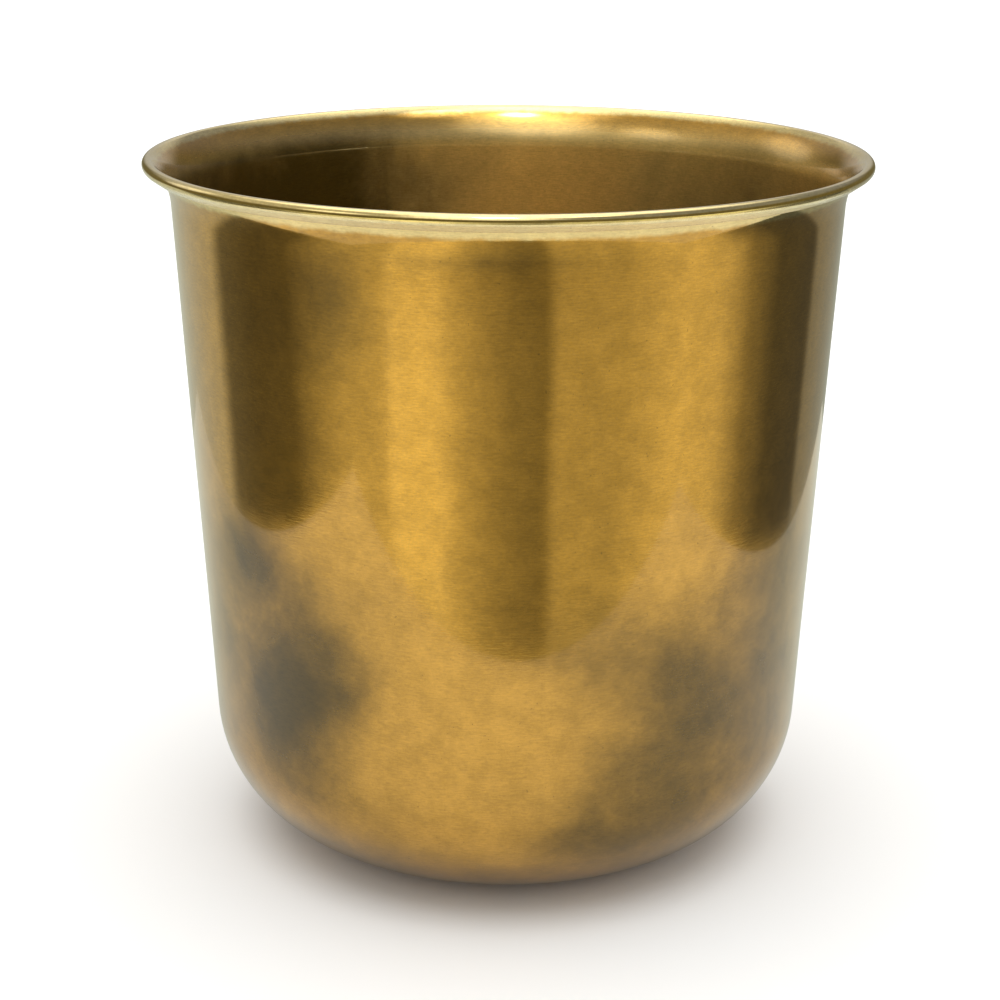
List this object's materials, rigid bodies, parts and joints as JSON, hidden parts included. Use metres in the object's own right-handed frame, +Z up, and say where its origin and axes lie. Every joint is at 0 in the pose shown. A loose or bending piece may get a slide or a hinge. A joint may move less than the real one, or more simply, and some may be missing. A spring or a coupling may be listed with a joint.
{
  "type": "planter pot",
  "caption": "Round spun brass planter pot with a rounded heel, slightly tapered wall and a flared mouth with a rolled, wired edge, standing on small pads.",
  "frame": {"origin": "on the pot's axis, in the plane that the pads stand on", "axes": "+Z up along the pot's axis; -Y is the front; the pot itself is round, so X and Y only place the pads"},
  "size_m": [0.22, 0.22, 0.2168],
  "materials": {
    "brass": "antique satin brass with soft cloudy tarnish",
    "wire": "plain drawn steel wire",
    "pad": "matt dark rubber"
  },
  "bodies": {
    "root": {"pot_shell": "brass", "rim_wire": "wire", "pad_front_left": "pad", "pad_front_right": "pad", "pad_back_left": "pad", "pad_back_right": "pad"}
  },
  "joints": []
}
